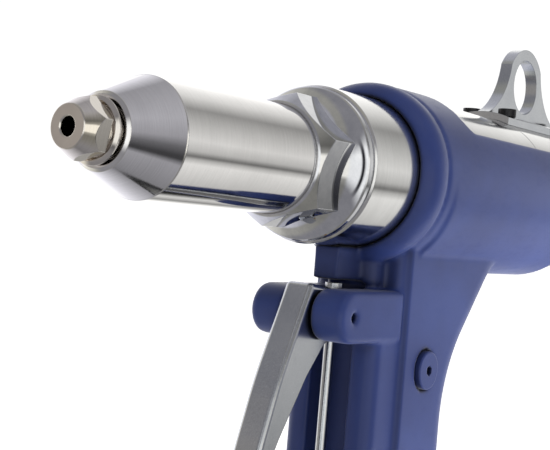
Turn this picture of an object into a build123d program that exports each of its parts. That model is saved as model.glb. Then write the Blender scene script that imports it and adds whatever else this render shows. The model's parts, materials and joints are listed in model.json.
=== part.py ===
from build123d import *
import os
from math import cos, radians, sin, sqrt, tan

# Pneumatic-hydraulic blind rivet gun. +X points to the nose, +Z up, and the origin is the centre
# of the base's underside. "s" is a distance behind the nose tip along the barrel axis, "r" a radius
# about that axis, and "h" a height above the barrel axis (negative below it). Millimetres.

# ---------------------------------------------------------------- driving dimensions
AXIS_Z = 240.0          # barrel axis above the base's underside
NOSE_X = 126.0          # nose tip in front of the handle axis
FIT = 0.05              # radial clearance of a running fit or an assembled joint
GAP = 0.3               # clearance between bodies that only pass each other

# nose and front housing
MANDREL_R = 2.0         # bore of the nosepiece
NOSE_FACE_R = 4.75
NOSE_HEX = 11.8         # across flats
NOSE_FLANGE_R = 7.3
HEX_TURN = -12.0        # turns both hexagons about the barrel axis: their left flats face 12 degrees down
CONE_TIP_S = 9.0
CONE_TIP_R = 8.25
CONE_END_S = 21.7
BARREL_R = 13.5         # front housing's outside
BARREL_BORE_R = 10.0

# lock nut and head cylinder
NUT_S = 69.7
NUT_HEX = 29.4          # across flats
NUT_FLANGE_R = 19.65
SLEEVE_S = 86.2         # front face of the head cylinder
SLEEVE_R = 20.25        # the bright part in front of the collar
HEAD_R = 23.2           # the cylinder's larger rear part
HEAD_STEP_S = 131.0
HEAD_END_S = 184.0
HEAD_BORE_R = 15.5

# pull mechanism
PISTON_S = 126.0        # front face of the head piston at rest
PISTON_LENGTH = 14.0
HOLLOW_ROD_R = 7.0
HEAD_STROKE = 18.0
JAW_CONE = 12.2         # half-angle of the jaw taper, degrees
CASE_R = 9.6

# blue housing
COLLAR_S = 107.6
COLLAR_R = 24.5
SHELL_R = 24.6
SHELL_BORE_R = HEAD_R + 0.15
SHELL_END_S = 214.0
SADDLE_S = 134.3        # where the open rear half begins
SADDLE_H = 14.1         # top edge of the open rear half
KEEL_H = -26.1          # lowest line of the rear half
REAR_END_S = 240.0      # rear face of the rear cap
GRIP_FRONT = 21.5
GRIP_REAR = -21.5
BLOCK_FRONT = 10.5      # front of the wide block behind the chin rib
RIB_FRONT = 27.6
RIB_FOOT_H = -29.6
CHEEK_HALF = 13.3       # half-width of the front part of the handle
GRIP_HALF = 15.0        # half-width of the rear part
STEP_X = 8.0            # where the two widths meet
HANDLE_BASE_Z = 106.0

# hanger eye
HANGER_S = 209.0
HANGER_HOLE_H = 36.5
HANGER_HOLE_R = 9.0
HANGER_TOP_H = 49.0

# oil plug in the handle's side
PLUG_X = -3.9
PLUG_H = -52.4
PLUG_R = 5.3

# trigger and valve
PIVOT_X = 33.5
PIVOT_H = -37.8
EAR_GAP = 4.5           # half the gap between the ears
SLOT_HALF = 6.0         # half-width of the valve rod's slot
SLOT_BACK = 13.6        # its rear wall
EAR_H = (-44.5, -31.1)
EAR_OUTER = 14.1
PIN_R = 1.3
TRIGGER_HALF = 4.2
TRIGGER_WALL = 1.1
VALVE_X = 22.5
VALVE_ROD_R = 1.45

# oil cylinder, ram and air cylinder
RAM_R = 8.0
OIL_TUBE_R = 9.4
AIR_BORE_R = 44.95
AIR_TUBE_R = 48.0
AIR_TUBE_Z = (5.0, 92.0)
AIR_PISTON_Z = (22.0, 34.0)
RAM_TIP_Z = 118.0
HEAD_FLOOR_Z = 90.0     # underside of the base's top casting
INLET_Z = 101.3
EXHAUST_Z = 99.3
BOOT_R = 51.5
RAM_STROKE = HEAD_STROKE * (HEAD_BORE_R**2 - HOLLOW_ROD_R**2) / RAM_R**2


# ---------------------------------------------------------------- shared shapes
def rounded(points):
    """Replace each corner (a, b, radius) by the two ends of a tangent arc."""
    made = []
    for n, point in enumerate(points):
        if len(point) != 3:
            made.append(point)
            continue
        corner = Vector(point[0], point[1])
        before = (Vector(*points[n - 1][:2]) - corner).normalized()
        after = (Vector(*points[(n + 1) % len(points)][:2]) - corner).normalized()
        half_cos = sqrt((1 + before.dot(after)) / 2)
        half_sin = sqrt(1 - half_cos**2)
        start = corner + before * (point[2] * half_cos / half_sin)
        end = corner + after * (point[2] * half_cos / half_sin)
        middle = corner + (before + after).normalized() * (point[2] / half_sin - point[2])
        made.append((start.X, start.Y))
        made.append((end.X, end.Y, middle.X, middle.Y))
    return made


def closed(points, place, facing):
    """
    A face inside a closed outline. A corner (a, b, radius) is rounded, and a point
    (a, b, am, bm) is reached by an arc through (am, bm).
    """
    points = rounded(points)
    edges = []
    here = points[0][:2]
    for point in points[1:] + points[:1]:
        there = point[:2]
        if len(point) == 4:
            edges.append(ThreePointArc(place(*here), place(*point[2:]), place(*there)))
        else:
            edges.append(Line(place(*here), place(*there)))
        here = there
    face = Face(Wire(edges))
    return face if face.normal_at().dot(Vector(*facing)) > 0 else -face


def turned(points):
    """A piece turned about the barrel axis, from (s, r) points."""
    face = closed(points, lambda s, r: (NOSE_X - s, 0, AXIS_Z + r), (0, -1, 0))
    return revolve(face, Axis((0, 0, AXIS_Z), (1, 0, 0)))


def spun(points, x=0.0, y=0.0):
    """A piece turned about a vertical axis, from (r, z) points."""
    face = closed(points, lambda r, z: (x + r, y, z), (0, 1, 0))
    return revolve(face, Axis((x, y, 0), (0, 0, 1)))


def ring(s0, s1, r0, r1):
    return turned([(s0, r0), (s0, r1), (s1, r1), (s1, r0)])


def disc(z0, z1, r0, r1, x=0.0, y=0.0):
    return spun([(r0, z0), (r1, z0), (r1, z1), (r0, z1)], x, y)


def across(x, z, radius, y0, y1):
    """A cylinder that lies along Y."""
    return extrude(Plane((x, y0, z), x_dir=(1, 0, 0), z_dir=(0, 1, 0)) * Circle(radius), y1 - y0)


def along(s0, s1, radius):
    return ring(s0, s1, 0, radius)


def side_prism(points, half):
    """A prism across the tool, from side-view points (x, h)."""
    face = closed(points, lambda x, h: (x, -half, AXIS_Z + h), (0, 1, 0))
    return extrude(face, 2 * half, dir=(0, 1, 0))


def hex_bar(s0, s1, flats):
    """A hexagonal bar on the barrel axis, with one pair of flats turned down from the sides."""
    place = Plane((NOSE_X - s0, 0, AXIS_Z), x_dir=(0, 0, 1), z_dir=(-1, 0, 0))
    bar = extrude(place * RegularPolygon(flats / 2, 6, major_radius=False), s1 - s0)
    return bar.rotate(Axis((0, 0, AXIS_Z), (1, 0, 0)), HEX_TURN)


def coil(start, direction, length, radius, wire, turns):
    """An open-ended round-wire spring."""
    pitch = (length - wire) / turns
    lead = Vector(*direction) * (wire / 2)
    path = Helix(pitch, length - wire, radius, center=Vector(*start) + lead, direction=direction)
    section = Plane(origin=path @ 0, z_dir=path % 0) * Circle(wire / 2)
    return sweep(section, path=path)


# ---------------------------------------------------------------- nose and barrel
def nosepiece():
    blank = turned([
        (0, 0), (0, NOSE_FACE_R - 0.2), (0.2, NOSE_FACE_R), (4.8, 7.1), (6.2, 7.1), (6.2, 0),
    ])
    flange = turned([
        (6.1, 0), (6.1, 5.4), (7.1, 5.4), (7.1, 6.4), (7.55, NOSE_FLANGE_R), (7.9, NOSE_FLANGE_R),
        (8.05, 7.1), (8.05, 5.6), (20, 5.6), (20, 3.9), (25.2, 2.8), (25.2, 0),
    ])
    bore = turned([
        (-1, 0), (-1, MANDREL_R + 0.25), (0, MANDREL_R + 0.25), (0.25, MANDREL_R),
        (25.3, MANDREL_R), (25.3, 0),
    ])
    return (blank & hex_bar(0, 6.2, NOSE_HEX)) + flange - bore


def front_housing():
    return turned([
        (CONE_TIP_S, 5.65), (CONE_TIP_S, CONE_TIP_R - 0.6), (CONE_TIP_S + 0.5, CONE_TIP_R + 0.2),
        (CONE_END_S - 0.2, BARREL_R - 0.15), (CONE_END_S, BARREL_R), (103.8, BARREL_R),
        (103.8, BARREL_BORE_R), (20.6, BARREL_BORE_R), (20.6, 5.65),
    ])


def lock_nut():
    """Hexagon with a turned chamfer in front and a dished flange behind."""
    body = turned([
        (NUT_S, 0), (NUT_S, 13.9), (NUT_S + 0.3, 14.3), (NUT_S + 3.9, 17.1), (NUT_S + 13.5, 17.1),
        (NUT_S + 13.5, 0),
    ])
    body = body & hex_bar(NUT_S, NUT_S + 13.5, NUT_HEX)
    flange = turned([
        (NUT_S + 9.6, 0), (NUT_S + 9.6, 14.4), (NUT_S + 14.1, NUT_FLANGE_R - 0.35, NUT_S + 12.5, 16.8),
        (NUT_S + 14.5, NUT_FLANGE_R), (NUT_S + 15.9, NUT_FLANGE_R), (NUT_S + 16.4, NUT_FLANGE_R - 0.5),
        (NUT_S + 16.4, 0),
    ])
    return body + flange - along(NUT_S - 1, SLEEVE_S, BARREL_R + FIT)


def head_cylinder():
    outside = turned([
        (SLEEVE_S, 0), (SLEEVE_S, SLEEVE_R - 0.5), (SLEEVE_S + 0.5, SLEEVE_R), (HEAD_STEP_S, SLEEVE_R),
        (HEAD_STEP_S, HEAD_R), (HEAD_END_S, HEAD_R), (HEAD_END_S, 0),
    ])
    spigot = disc(208, AXIS_Z - 16, 0, RAM_R - FIT)
    inside = turned([
        (SLEEVE_S - 1, 0), (SLEEVE_S - 1, BARREL_R + FIT), (104, BARREL_R + FIT), (104, 12),
        (112, 12), (112, 9.05), (115, 9.05), (115, 8), (117, 8), (117, HEAD_BORE_R),
        (HEAD_END_S + 1, HEAD_BORE_R), (HEAD_END_S + 1, 0),
    ])
    port = disc(200, AXIS_Z - 14, 0, 3)
    return outside + spigot - inside - port


def rod_gland():
    return ring(104.1, 111.9, HOLLOW_ROD_R + FIT, 12 - FIT)


def rod_seal():
    return ring(112.1, 114.9, HOLLOW_ROD_R + FIT, 9)


# ---------------------------------------------------------------- pull mechanism
def head_piston():
    """Piston with its hollow front rod and a short threaded tail."""
    s0 = PISTON_S
    s1 = PISTON_S + PISTON_LENGTH
    skin = HEAD_BORE_R - 0.06
    return turned([
        (52, 3.4), (52, HOLLOW_ROD_R), (s0, HOLLOW_ROD_R), (s0, skin), (s0 + 5, skin), (s0 + 5, 12.8),
        (s0 + 9, 12.8), (s0 + 9, skin), (s1, skin), (s1, 5), (s1 + 6, 5), (s1 + 6, 3.4),
    ])


def head_piston_seal():
    return ring(PISTON_S + 5.1, PISTON_S + 8.9, 12.85, HEAD_BORE_R - 0.03)


def cone_radius(s):
    """Radius of the case's jaw taper, which opens rearwards from s = 23."""
    return 4.6 + (s - 23) * tan(radians(JAW_CONE))


def jaw_case():
    return turned([
        (21.4, 4.6), (21.4, CASE_R - 0.8), (22.2, CASE_R), (62, CASE_R), (62, HOLLOW_ROD_R + FIT),
        (51.8, HOLLOW_ROD_R + FIT), (51.8, cone_radius(38)), (38, cone_radius(38)), (23, 4.6),
    ])


def jaws():
    """Three hardened jaws, each a third of a tapered sleeve with a gap to its neighbours."""
    s0, s1 = 25.6, 36.2
    inner = MANDREL_R + 0.4
    sleeve = turned([
        (s0, inner), (s0, cone_radius(s0) - GAP), (s1, cone_radius(s1) - GAP), (s1, inner),
    ])
    reach = 12.0
    apex = 0.65 / sin(radians(60))
    edge = reach * sin(radians(60))
    third = closed([(0, apex), (edge, apex + reach / 2), (0, 2 * reach), (-edge, apex + reach / 2)],
                   lambda y, h: (NOSE_X - s1 - 1, y, AXIS_Z + h), (1, 0, 0))
    wedge = extrude(third, s1 - s0 + 2, dir=(1, 0, 0))
    axis = Axis((0, 0, AXIS_Z), (1, 0, 0))
    return [(sleeve & wedge.rotate(axis, 120 * n)).solid() for n in range(3)]


def jaw_pusher():
    return turned([
        (36.6, 2.6), (36.6, 6.2), (37.4, 7.1), (39.2, 7.1), (39.2, 4.2), (46, 4.2), (46, 2.6),
    ])


def jaw_spring():
    return coil((NOSE_X - 39.3, 0, AXIS_Z), (-1, 0, 0), 12.4, 5.8, 1.0, 6)


def return_spring():
    length = HEAD_END_S - 4 - (PISTON_S + PISTON_LENGTH) - 0.2
    return coil((NOSE_X - PISTON_S - PISTON_LENGTH - 0.1, 0, AXIS_Z), (-1, 0, 0), length, 11, 2.2, 5)


def mandrel_tube():
    start = PISTON_S + PISTON_LENGTH + 6.1
    return ring(start, REAR_END_S + 6, 2.9, 3.6)


# ---------------------------------------------------------------- rear end
def rear_cap():
    """Steel end cap with a spigot in the head cylinder and a pocket for the collector adapter."""
    front = HEAD_END_S - 4
    spigot = HEAD_BORE_R - FIT
    cap = turned([
        (front, 3.66), (front, spigot), (HEAD_END_S + 0.1, spigot), (HEAD_END_S + 0.1, HEAD_R - 0.4),
        (HEAD_END_S + 0.5, HEAD_R), (REAR_END_S - 4, HEAD_R),
        (REAR_END_S, HEAD_R - 4, REAR_END_S - 1.2, HEAD_R - 1.2), (REAR_END_S, 12 + FIT),
        (REAR_END_S - 8, 12 + FIT), (REAR_END_S - 8, 3.66),
    ])
    for x, y in hanger_screw_places():
        cap = cap - disc(AXIS_Z + 17.5, AXIS_Z + HEAD_R + 1, 0, 1.55, x, y)
    return cap - ring(HEAD_END_S - 3, HEAD_END_S - 1, spigot - 1.9, spigot + 1)


def rear_seal():
    return ring(HEAD_END_S - 2.9, HEAD_END_S - 1.1, HEAD_BORE_R - FIT - 1.85, HEAD_BORE_R - 0.02)


def collector_adapter():
    """Turned adapter on which the bottle's rim runs."""
    s0 = REAR_END_S
    return turned([
        (s0 - 7.9, 3.8), (s0 - 7.9, 12), (s0 + 0.1, 12), (s0 + 0.1, 18.2), (s0 + 7, 18.2), (s0 + 7, 14),
        (s0 + 2, 14), (s0 + 2, 6), (s0, 3.8),
    ])


def collector_bottle():
    """Cup that catches the spent mandrels."""
    s0 = REAR_END_S + 0.6
    return turned([
        (s0, 18.5), (s0, 21.4), (s0 + 0.6, 22), (s0 + 5, 22), (s0 + 6, 21), (s0 + 42, 20.4),
        (s0 + 48, 14.4, s0 + 46.2, 18.6), (s0 + 48, 0), (s0 + 46, 0), (s0 + 46, 14),
        (s0 + 41, 18.4, s0 + 44.5, 17.1), (s0 + 7, 18.8),
    ])


def hanger_screw_places():
    x = NOSE_X - HANGER_S
    return [(x + dx, y) for dx in (-21.5, 21.5) for y in (-6.2, 6.2)]


def hanger_eye():
    """Steel eye on a curved foot, flared at both ends, in the plane of the barrel axis."""
    x = NOSE_X - HANGER_S
    plate = side_prism([
        (x + 26, 21), (x + 26, 25.4), (x + 11.5, 42.8, x + 16.5, 32), (x - 11.5, 42.8, x, HANGER_TOP_H),
        (x - 26, 25.4, x - 16.5, 32), (x - 26, 21),
    ], 2)
    plate = plate - across(x, AXIS_Z + HANGER_HOLE_H, HANGER_HOLE_R, -5, 5)
    foot = ring(HANGER_S - 27, HANGER_S + 27, HEAD_R + FIT, HEAD_R + 2.2) & \
        Pos(x, 0, AXIS_Z + HEAD_R) * Box(60, 19, 12)
    eye = plate - along(HANGER_S - 40, HANGER_S + 40, HEAD_R + FIT) + foot
    for sx, sy in hanger_screw_places():
        eye = eye - disc(AXIS_Z + 18, AXIS_Z + 40, 0, 1.7, sx, sy)
        eye = eye - disc(AXIS_Z + HEAD_R + 1.0, AXIS_Z + 40, 0, 3.0, sx, sy)
    return eye


def hanger_screws():
    """Four small cap screws through the eye's foot."""
    made = []
    for x, y in hanger_screw_places():
        seat = AXIS_Z + HEAD_R + 1.05
        screw = disc(seat, seat + 2.4, 0, 2.85, x, y) + disc(AXIS_Z + 18, seat, 0, 1.5, x, y)
        socket = extrude(Plane((x, y, seat + 1)) * RegularPolygon(1.3, 6), 4)
        made.append((screw - socket).solid())
    return Compound(children=made)


# ---------------------------------------------------------------- housing and handle
def housing_shell():
    """Collar and barrel shell, open at the top behind the collar."""
    outside = turned([
        (COLLAR_S, 0), (COLLAR_S, SLEEVE_R + 0.6), (COLLAR_S + 7.6, COLLAR_R, COLLAR_S + 2.3, 23.6),
        (COLLAR_S + 8.4, COLLAR_R), (COLLAR_S + 8.8, COLLAR_R - 0.5), (COLLAR_S + 9.8, COLLAR_R - 0.5),
        (COLLAR_S + 10.2, SHELL_R), (SHELL_END_S - 1.5, SHELL_R), (SHELL_END_S, SHELL_R - 1),
        (SHELL_END_S, 0),
    ])
    keel_axis = KEEL_H + SHELL_R
    x1 = NOSE_X - SHELL_END_S
    keel = Pos((x1 + 4) / 2, 0, AXIS_Z + keel_axis) * Rot(0, 90, 0) * Cylinder(SHELL_R, 4 - x1)
    sides = Pos((x1 + 4) / 2, 0, AXIS_Z + keel_axis / 2) * Box(4 - x1, 2 * SHELL_R, -keel_axis)
    return outside + keel + sides


def saddle_cut():
    """Space above the rear half, with a rounded shoulder in front and a rounded corner below it."""
    far_x = NOSE_X - SHELL_END_S - 5
    top = SHELL_R + 15
    return side_prism([
        (NOSE_X - SADDLE_S + 5, top), (NOSE_X - SADDLE_S + 5, SHELL_R + 0.2),
        (NOSE_X - SADDLE_S, SHELL_R - 0.3, 3), (NOSE_X - SADDLE_S - 1.8, SADDLE_H, 4),
        (far_x, SADDLE_H), (far_x, top),
    ], 40)


def grip():
    """Rear part of the handle, with its back rounded and swept up into the barrel shell."""
    foot = HANDLE_BASE_Z - AXIS_Z
    block = side_prism([
        (STEP_X, -12), (-66, -12), (-66, -17.5), (-47, -24.8, 30), (GRIP_REAR, -55, 36), (GRIP_REAR, foot),
        (STEP_X, foot),
    ], GRIP_HALF)
    rear = [e for e in block.edges()
            if abs(abs(e.center().Y) - GRIP_HALF) < 0.01 and e.center().X < STEP_X - 4
            and HANDLE_BASE_Z + 1 < e.center().Z < AXIS_Z - 24]
    return fillet(rear, 9)


def cheeks():
    """Front part of the handle below the ears, with rounded front edges."""
    foot = HANDLE_BASE_Z - AXIS_Z
    block = side_prism([
        (STEP_X - 1, -12), (STEP_X - 1, foot), (GRIP_FRONT, foot), (GRIP_FRONT, EAR_H[0] + 2),
        (BLOCK_FRONT, EAR_H[0] + 2), (BLOCK_FRONT, -12),
    ], CHEEK_HALF)
    front = [e for e in block.edges()
             if abs(abs(e.center().Y) - CHEEK_HALF) < 0.01 and e.center().X > GRIP_FRONT - 0.1]
    block = fillet(front, 4)
    upper = [e for e in block.edges()
             if abs(abs(e.center().Y) - CHEEK_HALF) < 0.01 and abs(e.center().X - BLOCK_FRONT) < 0.1]
    return fillet(upper, 2)


def ears():
    """Pair of rounded lugs that carry the trigger."""
    half = (EAR_H[1] - EAR_H[0]) / 2
    root = BLOCK_FRONT - 1
    block = side_prism([
        (root, EAR_H[0]), (PIVOT_X, EAR_H[0]), (PIVOT_X, EAR_H[1], PIVOT_X + half, PIVOT_H),
        (root, EAR_H[1]),
    ], EAR_OUTER)
    rim = [e for e in block.edges() if abs(e.center().Y) > CHEEK_HALF and e.center().X > root + 0.5]
    return fillet(rim, 1.4)


def chin():
    """Rib and lip below the bright sleeve, on a rounded pad."""
    rib = side_prism([
        (8, -12), (8, RIB_FOOT_H), (RIB_FRONT, RIB_FOOT_H), (RIB_FRONT, -12),
    ], 3.6)
    lip_s = NOSE_X - RIB_FRONT
    lip = turned([(lip_s, 0), (lip_s, 22.4), (COLLAR_S + 2, 23.4), (COLLAR_S + 2, 0)])
    keep = Pos(RIB_FRONT - 10, 0, AXIS_Z - 22) * Box(30, 8, 10)
    pad = side_prism([(7, -12), (7, RIB_FOOT_H), (16, RIB_FOOT_H), (16, -12)], 8.2)
    corners = [e for e in pad.edges() if e.center().X > 15.9 and abs(e.center().Y) > 8.1]
    return rib + (lip & keep) + fillet(corners, 4)


def base_flange():
    return spun([(0, HANDLE_BASE_Z), (33, HANDLE_BASE_Z), (33, HANDLE_BASE_Z + 4),
                 (31.5, HANDLE_BASE_Z + 5.5), (26, HANDLE_BASE_Z + 7), (0, HANDLE_BASE_Z + 7)])


def screw_places():
    return [(28 * cos(radians(a)), 28 * sin(radians(a))) for a in (45, 135, 225, 315)]


def housing():
    body = housing_shell() + grip() + cheeks() + ears() + chin() + base_flange()
    bore = turned([
        (80, 0), (80, SLEEVE_R + FIT), (HEAD_STEP_S - GAP, SLEEVE_R + FIT),
        (HEAD_STEP_S - GAP, SHELL_BORE_R), (SHELL_END_S + 1, SHELL_BORE_R), (SHELL_END_S + 1, 0),
    ])
    body = body - bore - saddle_cut()
    body = body - disc(HANDLE_BASE_Z - 1, AXIS_Z - 18, 0, OIL_TUBE_R + FIT)
    ear_gap = Pos(SLOT_BACK + 15, 0, AXIS_Z - 38) * Box(30, 2 * EAR_GAP, 17.8)
    rod_slot = Pos(SLOT_BACK + 7.1, 0, AXIS_Z - 92) * Box(14.2, 2 * SLOT_HALF, 96)
    body = body - ear_gap - rod_slot
    body = body - across(PIVOT_X, AXIS_Z + PIVOT_H, PIN_R + 0.02, -20, 20)
    body = body - disc(AXIS_Z - 40, AXIS_Z - 25.5, 0, 2.9, VALVE_X)
    body = body - across(PLUG_X, AXIS_Z + PLUG_H, 3.1, 9, 20)
    body = body - across(PLUG_X, AXIS_Z + PLUG_H, PLUG_R + 0.4, GRIP_HALF - 1.6, 20)
    for x, y in screw_places():
        body = body - disc(HANDLE_BASE_Z - 1, HANDLE_BASE_Z + 10, 0, 2.2, x, y)
        body = body - disc(HANDLE_BASE_Z + 4, HANDLE_BASE_Z + 10, 0, 4.3, x, y)
    return body.solid()


# ---------------------------------------------------------------- trigger
def on_web(point):
    """True on the two long outer edges of the trigger's web."""
    beside = abs(abs(point.Y) - TRIGGER_HALF) < 0.01
    return beside and point.X > 39 + 0.36 * max(0, AXIS_Z - 31 - point.Z)


def trigger():
    """Bent sheet channel: a crowned web in front, two flanges, and a heel that lifts the valve rod."""
    outline = [
        (19.5, -32.3), (39.2, -29.9, 1.4), (50.4, -54, 90), (58, -76, 60), (59, -100), (55.4, -100),
        (53.4, -76, 40), (38.6, -53.5, 20), (31.8, -45.6, 6), (25.5, -42.6, 4), (22.8, -37, 3), (19.5, -34.8),
    ]
    solid = side_prism(outline, TRIGGER_HALF)
    solid = fillet([e for e in solid.edges() if on_web(e.center())], 1.5)
    wall = TRIGGER_WALL + 0.4
    hollow = side_prism([
        (5, -35.7), (38.2, -31.5, 0.6), (50.4 - wall, -54.5, 90), (58 - wall, -76.3, 60),
        (59 - wall, -98.6), (40, -98.6), (5, -60),
    ], TRIGGER_HALF - TRIGGER_WALL)
    fork = Pos(VALVE_X - 2, 0, AXIS_Z - 34) * Box(8, 3.6, 6)
    solid = solid - hollow - fork
    return solid - across(PIVOT_X, AXIS_Z + PIVOT_H, PIN_R + 0.04, -6, 6)


def trigger_pin():
    return across(PIVOT_X, AXIS_Z + PIVOT_H, PIN_R, -9.5, 9.5)


# ---------------------------------------------------------------- valve
def valve_rod():
    top = AXIS_Z - 31.5
    return disc(113, top, 0, VALVE_ROD_R, VALVE_X) + disc(top, top + 1.5, 0, 2.4, VALVE_X) + \
        disc(118, 119.5, 0, 3, VALVE_X)


def valve_spool():
    return spun([(0, 94), (2.0, 94), (2.0, 97), (1.3, 97.6), (1.3, 101.4), (2.0, 102), (2.0, 112.9),
                 (0, 112.9)], VALVE_X)


def valve_cartridge():
    return spun([(2.06, 92.5), (5, 92.5), (5, HANDLE_BASE_Z - 0.1), (4.2, HANDLE_BASE_Z), (4.2, 111),
                 (2.06, 111)], VALVE_X)


def valve_spring():
    return coil((VALVE_X, 0, 119.7), (0, 0, 1), 14, 2.4, 0.8, 6)


def valve_spring_seat():
    return disc(134, 136, VALVE_ROD_R + 0.1, 4.4, VALVE_X) & Pos(VALVE_X + 0.4, 0, 135) * Box(7.6, 10, 6)


# ---------------------------------------------------------------- base: oil tube, ram, air cylinder
def oil_tube():
    return disc(96, 216.4, RAM_R + FIT, OIL_TUBE_R)


def oil_plug():
    """Socket-head bleed screw in the side of the handle."""
    z = AXIS_Z + PLUG_H
    head = across(PLUG_X, z, PLUG_R, GRIP_HALF - 1.5, GRIP_HALF + 1.3)
    head = fillet([e for e in head.edges() if e.center().Y > GRIP_HALF], 0.5)
    socket = extrude(Plane((PLUG_X, GRIP_HALF + 1.4, z), z_dir=(0, -1, 0)) * RegularPolygon(1.5, 6), 2)
    return head + across(PLUG_X, z, 3, OIL_TUBE_R + 0.2, GRIP_HALF) - socket


def cylinder_head():
    """Casting on top of the air cylinder, with bosses for the air inlet and the exhaust."""
    z = HEAD_FLOOR_Z
    body = spun([
        (0, z), (44.9, z), (44.9, z + 2.1), (49.5, z + 2.1), (49.5, z + 6.5), (47, z + 9.5, 48.8, z + 8.6),
        (35, z + 16), (0, z + 16),
    ])
    inlet = Pos(-48, 0, INLET_Z) * Rot(0, 90, 0) * Cylinder(9, 24)
    outlet = Pos(44, 0, EXHAUST_Z) * Rot(0, 90, 0) * Cylinder(7, 16)
    body = body + inlet + outlet
    body = body - disc(z - 1, z + 20, 0, OIL_TUBE_R + FIT)
    body = body - disc(z + 2.4, z + 20, 0, 5 + FIT, VALVE_X) - disc(z - 1, z + 3, 0, 1.6, VALVE_X)
    body = body - Pos(-54, 0, INLET_Z) * Rot(0, 90, 0) * Cylinder(7.05, 14)
    body = body - Pos(-40, 0, INLET_Z) * Rot(0, 90, 0) * Cylinder(3, 30)
    body = body - Pos(50, 0, EXHAUST_Z) * Rot(0, 90, 0) * Cylinder(5.05, 20)
    for x, y in screw_places():
        body = body - disc(z + 5, z + 17, 0, 2.05, x, y)
    return body


def inlet_adapter():
    """Threaded hose adapter in the rear boss."""
    x0, z = -47.2, INLET_Z
    barrel = Pos(x0 - 6, 0, z) * Rot(0, 90, 0) * Cylinder(7, 12.4)
    place = Plane((-60.2, 0, z), x_dir=(0, 0, 1), z_dir=(-1, 0, 0))
    nut = extrude(place * RegularPolygon(9, 6, major_radius=False), 8)
    nut = nut & Pos(-64.2, 0, z) * Rot(0, 90, 0) * Cylinder(9.9, 8)
    mouth = Pos(-62, 0, z) * Rot(0, 90, 0) * Cylinder(5.9, 14)
    passage = Pos(-50, 0, z) * Rot(0, 90, 0) * Cylinder(3, 40)
    return barrel + Pos(-60, 0, z) * Rot(0, 90, 0) * Cylinder(7, 2) + nut - mouth - passage


def exhaust_silencer():
    """Sintered bronze plug."""
    x0, z = 41, EXHAUST_Z
    plug = Pos(x0 + 6, 0, z) * Rot(0, 90, 0) * Cylinder(5, 12)
    cap = Pos(x0 + 14, 0, z) * Rot(0, 90, 0) * Cylinder(6, 5.6)
    cap = fillet(cap.edges().sort_by(Axis.X)[-1], 1.5)
    return plug + cap


def ram_gland():
    return disc(92, 95.9, RAM_R + FIT, OIL_TUBE_R)


def ram_seal():
    return disc(HEAD_FLOOR_Z + 0.1, 91.9, RAM_R + FIT, OIL_TUBE_R)


def ram_rod():
    return spun([(0, 17), (5, 17), (5, AIR_PISTON_Z[1]), (RAM_R, AIR_PISTON_Z[1]), (RAM_R, RAM_TIP_Z - 1),
                 (RAM_R - 1, RAM_TIP_Z), (0, RAM_TIP_Z)])


def air_piston():
    z0, z1 = AIR_PISTON_Z
    skin = AIR_BORE_R - 0.08
    return spun([
        (5 + FIT, z0), (14, z0), (16, z0 + 2), (38, z0 + 2), (40, z0), (skin, z0), (skin, z0 + 3.5),
        (41.5, z0 + 3.5), (41.5, z0 + 8.5), (skin, z0 + 8.5), (skin, z1), (5 + FIT, z1),
    ])


def air_piston_seal():
    z0 = AIR_PISTON_Z[0]
    return disc(z0 + 3.6, z0 + 8.4, 41.6, AIR_BORE_R - 0.04)


def piston_nut():
    place = Plane.XY.offset(17.2)
    nut = extrude(place * RegularPolygon(8.5, 6, major_radius=False), AIR_PISTON_Z[0] - 17.3)
    return nut - disc(10, 30, 0, 5 + FIT)


def air_cylinder():
    z0, z1 = AIR_TUBE_Z
    return spun([
        (AIR_BORE_R, z0), (AIR_TUBE_R, z0), (AIR_TUBE_R, z1), (AIR_BORE_R, z1), (AIR_BORE_R, 9), (46.4, 9),
        (46.4, 7), (AIR_BORE_R, 7),
    ])


def base_cap():
    return spun([
        (0, 9.1), (AIR_BORE_R - FIT, 9.1), (AIR_BORE_R - FIT, 11), (43, 11), (43, 13), (AIR_BORE_R - FIT, 13),
        (AIR_BORE_R - FIT, 15.5), (0, 15.5),
    ])


def cap_o_ring():
    return disc(11.1, 12.9, 43.05, AIR_BORE_R - 0.02)


def retaining_ring():
    """Open spring ring in the air cylinder's groove."""
    full = disc(7.1, 8.9, 43.2, 46.3)
    return full - Pos(-44, 0, 8) * Box(8, 9, 6)


def base_boot():
    """Rubber boot with a flat sole and a ribbed wall."""
    wall = [(0, 0), (BOOT_R - 3, 0), (BOOT_R, 3, BOOT_R - 0.88, 0.88), (BOOT_R, 8)]
    for z in (8, 12, 16):
        wall += [(BOOT_R - 0.8, z + 0.6), (BOOT_R - 0.8, z + 1.4), (BOOT_R, z + 2), (BOOT_R, z + 4)]
    wall += [(BOOT_R - 1, 21.5), (AIR_TUBE_R + 0.1, 21.5), (AIR_TUBE_R + 0.1, 4.9), (0, 4.9)]
    return spun(wall)


def handle_screws():
    """Four socket-head screws that hold the handle on the base."""
    made = []
    for x, y in screw_places():
        z = HANDLE_BASE_Z + 4.1
        screw = disc(z, z + 4, 0, 4.1, x, y) + disc(z - 14, z, 0, 2, x, y)
        socket = extrude(Plane((x, y, z + 1.6)) * RegularPolygon(1.8, 6), 4)
        made.append(screw - socket)
    return Compound(children=[s.solid() for s in made])


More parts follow.
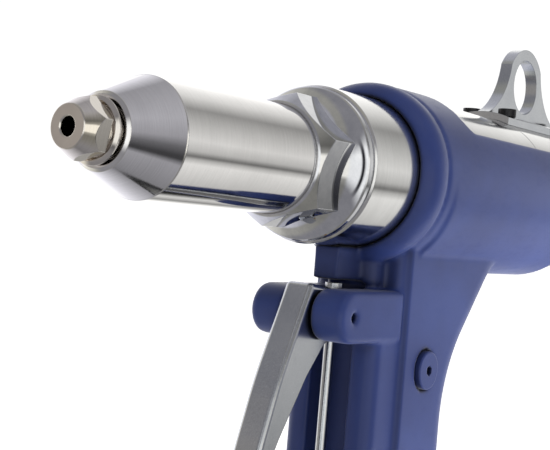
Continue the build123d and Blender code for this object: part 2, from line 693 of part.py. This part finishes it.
# ---------------------------------------------------------------- write one file per node
def main():
    os.makedirs("parts", exist_ok=True)
    makers = [
        nosepiece, front_housing, lock_nut, head_cylinder, rod_gland, rod_seal, head_piston,
        head_piston_seal, jaw_case, jaw_pusher, jaw_spring, return_spring, mandrel_tube, rear_cap,
        collector_adapter, collector_bottle, rear_seal, hanger_eye, hanger_screws, housing, trigger,
        trigger_pin, valve_rod, valve_spool, valve_cartridge, valve_spring, valve_spring_seat,
        oil_tube, oil_plug, cylinder_head, inlet_adapter, exhaust_silencer, ram_gland, ram_seal,
        ram_rod, air_piston, air_piston_seal, piston_nut, air_cylinder, base_cap, cap_o_ring,
        retaining_ring, base_boot, handle_screws,
    ]
    nodes = {make.__name__: make() for make in makers}
    for number, jaw in enumerate(jaws(), start=1):
        nodes[f"jaw_{number}"] = jaw
    for name, shape in nodes.items():
        export_step(shape, f"parts/{name}.step")
    print(f"the ram rises {RAM_STROKE:.2f} mm while the head piston moves {HEAD_STROKE} mm back")


if __name__ == "__main__":
    main()
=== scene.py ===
import json
import math

import bmesh
import bpy
from mathutils import Matrix, Vector


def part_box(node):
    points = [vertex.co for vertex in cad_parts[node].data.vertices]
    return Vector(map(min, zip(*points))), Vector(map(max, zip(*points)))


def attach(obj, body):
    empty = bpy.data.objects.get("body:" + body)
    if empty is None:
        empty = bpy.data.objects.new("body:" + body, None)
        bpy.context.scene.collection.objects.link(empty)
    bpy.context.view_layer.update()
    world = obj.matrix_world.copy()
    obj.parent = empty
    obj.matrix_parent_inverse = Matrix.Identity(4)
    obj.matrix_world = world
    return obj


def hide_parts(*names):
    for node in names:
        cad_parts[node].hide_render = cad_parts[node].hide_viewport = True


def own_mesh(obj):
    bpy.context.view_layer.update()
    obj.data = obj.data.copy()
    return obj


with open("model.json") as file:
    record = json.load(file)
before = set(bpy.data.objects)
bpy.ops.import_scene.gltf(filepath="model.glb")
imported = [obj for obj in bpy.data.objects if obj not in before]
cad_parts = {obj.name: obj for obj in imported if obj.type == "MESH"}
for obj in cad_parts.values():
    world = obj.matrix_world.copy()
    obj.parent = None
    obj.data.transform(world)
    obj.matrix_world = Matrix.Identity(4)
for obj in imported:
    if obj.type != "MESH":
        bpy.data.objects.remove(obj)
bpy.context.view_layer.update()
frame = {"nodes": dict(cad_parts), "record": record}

# A pneumatic rivet gun, looked at from its left front. Metres, in the row frame: +X to the nose,
# +Z up, the origin under the middle of the base. The barrel axis lies along X at AXIS_Z.

nose_low, nose_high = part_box("nosepiece")
AXIS_Z = (nose_low.z + nose_high.z) / 2


# ---------------------------------------------------------------- camera
# The tool leans in the picture: it is turned by LEAN about its own barrel axis.
LEAN = math.radians(6)
CAMERA_PLACE = (0.3031, 0.1772, 0.2244)
CAMERA_AIM = Vector((-0.8163, -0.5772, 0.0239))
CAMERA_UP = Vector((0.0689, -0.0562, 0.9960))
LENS_MM = 81.8
SHIFT_X = -0.0027
SHIFT_Y = -0.0582


def make_camera():
    """Close to the nose, a little below the barrel axis, looking back along the left side."""
    data = bpy.data.cameras.new("camera")
    camera = bpy.data.objects.new("camera", data)
    bpy.context.scene.collection.objects.link(camera)
    bpy.context.scene.camera = camera
    data.sensor_width = 36.0
    data.lens = LENS_MM
    data.shift_x = SHIFT_X
    data.shift_y = SHIFT_Y
    data.clip_start = 0.01
    camera.location = CAMERA_PLACE
    right = CAMERA_AIM.cross(CAMERA_UP)
    camera.rotation_mode = "QUATERNION"
    camera.rotation_quaternion = Matrix((right, CAMERA_UP, -CAMERA_AIM)).transposed().to_quaternion()


# ---------------------------------------------------------------- node helpers
class Nodes:
    """A short way to write a node tree."""

    def __init__(self, tree):
        self.tree = tree

    def feed(self, socket, value):
        if isinstance(value, bpy.types.NodeSocket):
            self.tree.links.new(value, socket)
        else:
            socket.default_value = value

    def math(self, operation, a, b=0.0, c=0.0):
        node = self.tree.nodes.new("ShaderNodeMath")
        node.operation = operation
        for socket, value in zip(node.inputs, (a, b, c)):
            self.feed(socket, value)
        return node.outputs[0]

    def ramp(self, factor, stops, smooth=False):
        node = self.tree.nodes.new("ShaderNodeValToRGB")
        self.feed(node.inputs[0], factor)
        band = node.color_ramp
        band.interpolation = "EASE" if smooth else "LINEAR"
        while len(band.elements) < len(stops):
            band.elements.new(0.5)
        for element, (place, colour) in zip(band.elements, stops):
            element.position = place
            element.color = (*colour, 1.0) if isinstance(colour, tuple) else (colour,) * 3 + (1.0,)
        return node.outputs[0]

    def mix(self, factor, a, b):
        node = self.tree.nodes.new("ShaderNodeMix")
        node.data_type = "RGBA"
        self.feed(node.inputs["Factor"], factor)
        self.feed(node.inputs[6], a)
        self.feed(node.inputs[7], b)
        return node.outputs[2]

    def noise(self, vector, scale, detail=4.0, rough=0.55):
        node = self.tree.nodes.new("ShaderNodeTexNoise")
        self.feed(node.inputs["Vector"], vector)
        node.inputs["Scale"].default_value = scale
        node.inputs["Detail"].default_value = detail
        node.inputs["Roughness"].default_value = rough
        return node.outputs["Fac"]


def shade(level):
    """Linear value of a screen grey from 0 to 255."""
    c = level / 255
    return c / 12.92 if c <= 0.04045 else ((c + 0.055) / 1.055) ** 2.4


def tint(r, g, b):
    return (shade(r), shade(g), shade(b))


def new_material(name):
    made = bpy.data.materials.new(name)
    made.use_nodes = True
    tree = made.node_tree
    bsdf = tree.nodes["Principled BSDF"]
    return made, Nodes(tree), bsdf


def object_place(n, stretch=(1, 1, 1)):
    """Position in the row frame, stretched."""
    place = n.tree.nodes.new("ShaderNodeTexCoord").outputs["Object"]
    node = n.tree.nodes.new("ShaderNodeMapping")
    node.vector_type = "POINT"
    node.inputs["Scale"].default_value = stretch
    n.tree.links.new(place, node.inputs["Vector"])
    return node.outputs[0]


def bump(n, bsdf, height, strength, distance, edge=0.0):
    """Surface relief, on top of slightly rounded edges."""
    node = n.tree.nodes.new("ShaderNodeBump")
    node.inputs["Strength"].default_value = strength
    node.inputs["Distance"].default_value = distance
    n.feed(node.inputs["Height"], height)
    if edge:
        rounding = n.tree.nodes.new("ShaderNodeBevel")
        rounding.samples = 6
        rounding.inputs["Radius"].default_value = edge
        n.tree.links.new(rounding.outputs[0], node.inputs["Normal"])
    n.tree.links.new(node.outputs[0], bsdf.inputs["Normal"])


# ---------------------------------------------------------------- metals
# The noise's scale round the axis, against 1 along it, which draws the grain out into lines.
GRAIN_STRETCH = 0.012


def metal(name, colour, dark, rough, grain, axis=None, bump_depth=0.00001, edge=0.00025, spots=0.0):
    """
    A metal with smudges and a fine grain. The grain runs round the given axis ("x" for the barrel,
    "z" for the handle), or is even if there is none.
    """
    made, n, bsdf = new_material(name)
    even = object_place(n)
    smudge = n.noise(even, 60, 5, 0.6)
    fine = n.noise(even, 900, 3, 0.5)
    if axis == "x":
        lines = n.noise(object_place(n, stretch=(1, GRAIN_STRETCH, GRAIN_STRETCH)), grain, 3, 0.7)
    elif axis == "z":
        lines = n.noise(object_place(n, stretch=(GRAIN_STRETCH, GRAIN_STRETCH, 1)), grain, 3, 0.7)
    else:
        lines = n.noise(even, grain, 4, 0.65)
    tone = n.math("MULTIPLY_ADD", smudge, 0.5, n.math("MULTIPLY", lines, 0.5))
    n.feed(bsdf.inputs["Base Color"], n.ramp(tone, [(0.3, dark), (0.62, colour)]))
    bsdf.inputs["Metallic"].default_value = 1.0
    roughness = n.math("MULTIPLY_ADD", smudge, rough * 0.7, n.math("MULTIPLY", lines, rough * 0.6))
    if spots:
        speck = n.ramp(n.noise(even, 420, 2, 0.5), [(0.62, 0.0), (0.72, 1.0)])
        roughness = n.math("MULTIPLY_ADD", speck, spots, roughness)
    n.feed(bsdf.inputs["Roughness"], n.math("ADD", roughness, rough * 0.35))
    height = n.math("MULTIPLY_ADD", fine, 0.3, lines)
    bump(n, bsdf, height, 0.35, bump_depth, edge)
    return made


def make_metals():
    return {
        "polished_steel": metal("polished_steel", tint(226, 221, 214), tint(205, 200, 194), 0.06, 9000,
                                axis="x", bump_depth=0.000004),
        "ground_steel": metal("ground_steel", tint(232, 231, 230), tint(214, 213, 212), 0.075, 7000,
                              axis="x", bump_depth=0.000006, edge=0.0003),
        "bright_chrome": metal("bright_chrome", tint(222, 223, 226), tint(198, 200, 205), 0.035, 400,
                               bump_depth=0.000004, edge=0.0003),
        "satin_steel": metal("satin_steel", tint(230, 230, 229), tint(211, 211, 210), 0.10, 6000,
                             axis="x", bump_depth=0.000008, edge=0.0003),
        "tool_steel": metal("tool_steel", tint(150, 150, 152), tint(105, 105, 108), 0.30, 2500,
                            bump_depth=0.00001),
        "spring_steel": metal("spring_steel", tint(165, 165, 168), tint(120, 120, 124), 0.28, 3000,
                              bump_depth=0.00001),
        "zinc_steel": metal("zinc_steel", tint(206, 209, 213), tint(180, 184, 190), 0.20, 2600,
                            bump_depth=0.000006, edge=0.00025, spots=0.05),
        "bronze": metal("bronze", tint(190, 150, 95), tint(120, 88, 50), 0.45, 1500, bump_depth=0.00012),
        "brass": metal("brass", tint(214, 184, 116), tint(170, 138, 78), 0.22, 5000, axis="z",
                       bump_depth=0.00001),
        "aluminium": metal("aluminium", tint(205, 208, 212), tint(180, 183, 188), 0.30, 6500, axis="z",
                           bump_depth=0.000012),
        "aluminium_cast": metal("aluminium_cast", tint(190, 192, 196), tint(150, 152, 157), 0.48, 1800,
                                bump_depth=0.00006),
        "black_screw": metal("black_screw", tint(62, 62, 64), tint(34, 34, 36), 0.36, 2200,
                             bump_depth=0.00002),
    }


# ---------------------------------------------------------------- plastics and rubber
def moulded(name, colour, dark, rough, texture, depth, edge=0.0004, specular=0.5, shade_distance=0.0,
             sheen=0.0):
    """
    Moulded plastic or rubber: mottled colour, a fine texture and worn, lighter patches. Painted shade
    darkens what lies closer than the shade distance to another surface, where shade falls.
    """
    made, n, bsdf = new_material(name)
    place = object_place(n)
    broad = n.noise(place, 28, 5, 0.6)
    grain = n.noise(place, texture, 3, 0.6)
    fine = n.noise(place, texture * 3.1, 2, 0.5)
    tone = n.ramp(broad, [(0.32, dark), (0.68, colour)], smooth=True)
    # Painted shade: near black is mixed into the colour wherever another surface lies close, in creases and
    # recesses where shade falls.
    if shade_distance:
        open_air = n.tree.nodes.new("ShaderNodeAmbientOcclusion")
        open_air.samples = 8
        open_air.inputs["Distance"].default_value = shade_distance
        painted_shade_colour = tuple(c * 0.12 for c in dark) + (1.0,)
        tone = n.mix(n.ramp(open_air.outputs["AO"], [(0.15, 0.0), (0.85, 1.0)]), painted_shade_colour, tone)
    n.feed(bsdf.inputs["Base Color"], tone)
    scuff = n.ramp(n.noise(object_place(n, stretch=(1, 1, 3)), 140, 6, 0.7), [(0.5, 0.0), (0.8, 1.0)])
    roughness = n.math("MULTIPLY_ADD", scuff, 0.10, n.math("MULTIPLY_ADD", grain, 0.12, rough - 0.06))
    n.feed(bsdf.inputs["Roughness"], roughness)
    bsdf.inputs["Specular IOR Level"].default_value = specular
    bsdf.inputs["Sheen Weight"].default_value = sheen
    bsdf.inputs["Sheen Roughness"].default_value = 0.35
    height = n.math("MULTIPLY_ADD", fine, 0.4, grain)
    bump(n, bsdf, height, 0.5, depth, edge)
    return made


def make_plastics():
    return {
        # The blue housing takes painted shade in its creases, within 6 mm of another surface.
        "blue_housing": moulded("blue_housing", tint(43, 57, 108), tint(37, 49, 96), 0.36, 2400,
                                0.00003, edge=0.0004, specular=0.3, shade_distance=0.006, sheen=0.15),
        "seal_rubber": moulded("seal_rubber", tint(34, 34, 35), tint(22, 22, 23), 0.6, 1500, 0.00003),
        "boot_rubber": moulded("boot_rubber", tint(44, 45, 47), tint(30, 31, 33), 0.62, 1600, 0.00006),
        "black_plastic": moulded("black_plastic", tint(46, 47, 51), tint(34, 35, 38), 0.46, 1300, 0.00008),
    }


def dress_nodes(finishes):
    """Every CAD node gets the procedural finish of its slot."""
    slots = {entry["node"]: entry["material_slot"] for entry in frame["record"]["subparts"]}
    for name, piece in frame["nodes"].items():
        piece.data.materials.clear()
        piece.data.materials.append(finishes[slots[name]])


# ---------------------------------------------------------------- moulded housing
HOUSING_VOXEL = 0.0006
SMOOTH_ROUNDS = 8
FACES_KEPT = 0.3


def soft_housing(finish):
    """The blue housing with its edges rounded and its creases blended, as a moulding has them."""
    source = frame["nodes"]["housing"]
    piece = bpy.data.objects.new("blue_housing", source.data.copy())
    bpy.context.scene.collection.objects.link(piece)
    remesh = piece.modifiers.new("remesh", "REMESH")
    remesh.mode = "VOXEL"
    remesh.voxel_size = HOUSING_VOXEL
    smooth = piece.modifiers.new("smooth", "SMOOTH")
    smooth.factor = 0.5
    smooth.iterations = SMOOTH_ROUNDS
    thin = piece.modifiers.new("thin", "DECIMATE")
    thin.ratio = FACES_KEPT
    mesh = bpy.data.meshes.new_from_object(piece.evaluated_get(bpy.context.evaluated_depsgraph_get()))
    piece.modifiers.clear()
    piece.data = mesh
    mesh.materials.clear()
    mesh.materials.append(finish)
    mesh.shade_smooth()
    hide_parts("housing")
    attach(piece, "tool_body")


# ---------------------------------------------------------------- springs
STEPS_PER_TURN = 40
WIRE_SIDES = 12
CLOSED_PITCH = 1.05     # of the wire's diameter


def spring_rise(turn, turns, wire, height):
    """Height of the wire after some turns. The first and the last turn lie almost closed."""
    closed = wire * CLOSED_PITCH
    if turn < 1:
        return closed * turn
    if turn > turns - 1:
        return height - closed * (turns - turn)
    return closed + (turn - 1) / (turns - 2) * (height - 2 * closed)


def wound_spring(name, node, towards_seat, wire, turns, finish):
    """A compression spring with closed ends, built at rest from its loose end, which the joint presses,
    towards its seat.
    """
    low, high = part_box(node)
    lengthways = Vector(towards_seat)
    length = abs((high - low).dot(lengthways))
    radius = (high.y - low.y - wire) / 2
    loose_end = (low + high) / 2 - lengthways * (length / 2)
    side = Vector((0, 1, 0))
    other = lengthways.cross(side)
    steps = turns * STEPS_PER_TURN
    mesh = bmesh.new()
    rings = []
    for step in range(steps + 1):
        turn = step / steps * turns
        out = side * math.cos(2 * math.pi * turn) + other * math.sin(2 * math.pi * turn)
        rise = wire / 2 + spring_rise(turn, turns, wire, length - wire)
        middle = loose_end + lengthways * rise + out * radius
        ring = []
        for n in range(WIRE_SIDES):
            around = 2 * math.pi * n / WIRE_SIDES
            offset = out * math.cos(around) + lengthways * math.sin(around)
            ring.append(mesh.verts.new(middle + offset * (wire / 2)))
        rings.append(ring)
    for one, two in zip(rings, rings[1:]):
        for n in range(WIRE_SIDES):
            after = (n + 1) % WIRE_SIDES
            mesh.faces.new((one[n], one[after], two[after], two[n]))
    mesh.faces.new(rings[0])
    mesh.faces.new(rings[-1])
    bmesh.ops.recalc_face_normals(mesh, faces=mesh.faces)
    data = bpy.data.meshes.new(name)
    mesh.to_mesh(data)
    mesh.free()
    data.shade_smooth()
    data.materials.append(finish)
    piece = bpy.data.objects.new(name, data)
    bpy.context.scene.collection.objects.link(piece)
    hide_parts(node)
    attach(piece, "tool_body")
    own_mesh(piece)


# ---------------------------------------------------------------- studio
# A white studio with dark flags and grey walls, as strips that run along the barrel. A stop is
# (degrees, level), and the level changes evenly between two stops. 0 degrees is beside
# the tool on its left (+Y), 90 above it, 180 on its right and -90 below it. The rings are turned by
# LEAN, as the camera is.
REAR_STRIPS = [
    (-160, 250), (-145, 130), (-130, 210), (-120, 40), (-105, 40), (-95, 180), (-45, 220),
    (-35, 170), (-30, 100), (-20, 180), (0, 210), (60, 140), (90, 210), (130, 250),
]
SIDE_STRIPS = [
    (-160, 240), (-100, 120), (-45, 150), (-35, 60), (-30, 60), (-15, 100), (0, 150), (30, 170),
    (100, 150), (130, 220), (160, 250),
]
FRONT_STRIPS = [
    (-165, 250), (-140, 160), (-90, 120), (-35, 120), (-25, 160), (-20, 250), (5, 250), (10, 150),
    (20, 100), (50, 140), (120, 150), (160, 250),
]
# Where one ring passes into the next, as the forward part of the direction.
REAR_TO_SIDE = (-0.72, -0.52)
SIDE_TO_FRONT = (-0.02, 0.12)
FRONT_TO_WALL = (0.3, 0.5)
WALL_HEIGHT = (0.2, 0.5)
# The studio's strength in reflections, and how much less of it the camera and soft light see.
STUDIO_STRENGTH = 1.3
CAMERA_LOSS = 0.25
SOFT_LIGHT_LOSS = 0.42
FLOOR_REACH = 30.0
FLOOR_GLOW = 0.72


def strips(n, turn, levels, colour):
    """A ring of strips, tinted a little."""
    stops = []
    for degrees, level in levels:
        stops.append((degrees / 360 + 0.5, tuple(shade(level) * c for c in colour)))
    return n.ramp(turn, stops)


def smooth_step(n, value, start, end):
    node = n.tree.nodes.new("ShaderNodeMapRange")
    node.interpolation_type = "SMOOTHSTEP"
    n.feed(node.inputs["Value"], value)
    node.inputs["From Min"].default_value = start
    node.inputs["From Max"].default_value = end
    return node.outputs["Result"]


def make_world():
    """Rings of strips behind, beside and ahead of the tool, and a grey wall in front of it."""
    world = bpy.data.worlds.new("studio")
    world.use_nodes = True
    bpy.context.scene.world = world
    tree = world.node_tree
    n = Nodes(tree)
    background = tree.nodes["Background"]
    direction = tree.nodes.new("ShaderNodeTexCoord").outputs["Generated"]
    parts = tree.nodes.new("ShaderNodeSeparateXYZ")
    tree.links.new(direction, parts.inputs[0])
    ahead = parts.outputs["X"]
    angle = n.math("ARCTAN2", parts.outputs["Z"], parts.outputs["Y"])
    full_turn = 2 * math.pi
    turn = n.math("FRACT", n.math("MULTIPLY_ADD", angle, 1 / full_turn, 0.5 - LEAN / full_turn))
    rear = strips(n, turn, REAR_STRIPS, (1.0, 0.99, 0.97))
    side = strips(n, turn, SIDE_STRIPS, (0.98, 0.97, 1.05))
    front = strips(n, turn, FRONT_STRIPS, (1.02, 0.99, 0.90))
    wall = n.ramp(n.math("MULTIPLY_ADD", parts.outputs["Y"], 0.5, 0.5), [
        (0.0, tint(158, 152, 149)), (0.40, tint(146, 142, 138)), (0.45, tint(60, 60, 62)),
        (0.53, tint(60, 60, 62)), (0.56, tint(240, 240, 238)), (0.70, tint(250, 250, 248)),
        (0.73, tint(40, 40, 44)), (0.76, tint(40, 40, 44)), (0.79, tint(248, 248, 246)),
        (1.0, tint(240, 240, 238)),
    ])
    height = n.math("ABSOLUTE", parts.outputs["Z"])
    wall = n.mix(smooth_step(n, height, *WALL_HEIGHT), wall, (*tint(128, 127, 131), 1.0))
    ring = n.mix(smooth_step(n, ahead, *REAR_TO_SIDE), rear, side)
    ring = n.mix(smooth_step(n, ahead, *SIDE_TO_FRONT), ring, front)
    ring = n.mix(smooth_step(n, ahead, *FRONT_TO_WALL), ring, wall)
    seen = tree.nodes.new("ShaderNodeLightPath")
    plain = n.mix(seen.outputs["Is Camera Ray"], ring, (1.0, 1.0, 1.0, 1.0))
    tree.links.new(plain, background.inputs["Color"])
    strength = n.math("MULTIPLY_ADD", seen.outputs["Is Camera Ray"], -CAMERA_LOSS, STUDIO_STRENGTH)
    strength = n.math("MULTIPLY_ADD", seen.outputs["Is Diffuse Ray"], -SOFT_LIGHT_LOSS, strength)
    n.feed(background.inputs["Strength"], strength)


def make_floor():
    """A large pale floor that fades into the white background and takes a soft shadow."""
    mesh = bpy.data.meshes.new("floor")
    far = FLOOR_REACH
    corners = [(-far, -far, 0), (far, -far, 0), (far, far, 0), (-far, far, 0)]
    mesh.from_pydata(corners, [], [(0, 1, 2, 3)])
    floor = bpy.data.objects.new("floor", mesh)
    bpy.context.scene.collection.objects.link(floor)
    made, n, bsdf = new_material("floor")
    cloud = n.noise(object_place(n), 6, 3)
    pale = n.ramp(cloud, [(0.3, tint(246, 246, 246)), (0.7, tint(250, 250, 250))])
    n.feed(bsdf.inputs["Base Color"], pale)
    bsdf.inputs["Roughness"].default_value = 0.7
    bsdf.inputs["Emission Color"].default_value = (1, 1, 1, 1)
    bsdf.inputs["Emission Strength"].default_value = FLOOR_GLOW
    floor.data.materials.append(made)
    floor.visible_glossy = False


def area_light(name, place, target, size, power):
    """A soft white light that only lights: neither the steel nor the camera sees it."""
    data = bpy.data.lights.new(name, "AREA")
    data.shape = "RECTANGLE"
    data.size, data.size_y = size
    data.energy = power
    light = bpy.data.objects.new(name, data)
    bpy.context.scene.collection.objects.link(light)
    light.location = place
    light.rotation_mode = "QUATERNION"
    light.rotation_quaternion = (Vector(target) - Vector(place)).to_track_quat("-Z", "Y")
    light.visible_glossy = False
    light.visible_camera = False


def make_lights():
    area_light("key", (0.3, 0.5, 1.1), (0, 0, 0.2), (0.7, 0.5), 6.0)
    area_light("rim", (-0.6, -0.5, 0.9), (0, 0, 0.2), (0.6, 0.4), 3.0)
    area_light("bounce", (-0.09, 0.07, 0.11), (-0.05, 0.01, AXIS_Z), (0.12, 0.05), 0.30)


# ---------------------------------------------------------------- build
make_camera()
finishes = {**make_metals(), **make_plastics()}
dress_nodes(finishes)
soft_housing(finishes["blue_housing"])
steel = finishes["spring_steel"]
wound_spring("wound_valve_spring", "valve_spring", (0, 0, 1), 0.0008, 8, steel)
wound_spring("wound_return_spring", "return_spring", (-1, 0, 0), 0.0022, 7, steel)
make_world()
make_floor()
make_lights()
bpy.context.scene.view_settings.view_transform = "Standard"
